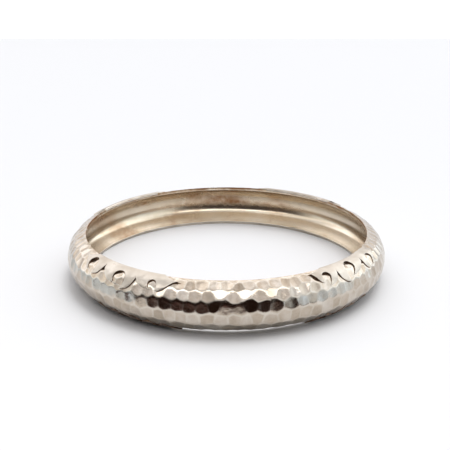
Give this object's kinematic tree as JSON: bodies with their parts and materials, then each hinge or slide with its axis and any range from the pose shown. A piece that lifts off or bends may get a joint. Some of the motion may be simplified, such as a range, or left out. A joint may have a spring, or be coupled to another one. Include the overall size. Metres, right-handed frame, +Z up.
{
  "type": "hammered bangle",
  "caption": "Closed round bangle with a half-round hammered band, open on the inside, and thin plates with scalloped edges and keyhole piercings along both rims.",
  "frame": {"origin": "centre of the ring, at the plane that the lower plates lie on", "axes": "+Z up along the ring's axis, -Y towards the front of the bangle as it lies, +X to the right"},
  "size_m": [0.072, 0.072, 0.0108],
  "materials": {
    "silver": "hammered bright silver outside, satin on the plates, tarnished warm grey-brown inside"
  },
  "bodies": {
    "root": {"bangle": "silver"}
  },
  "joints": []
}
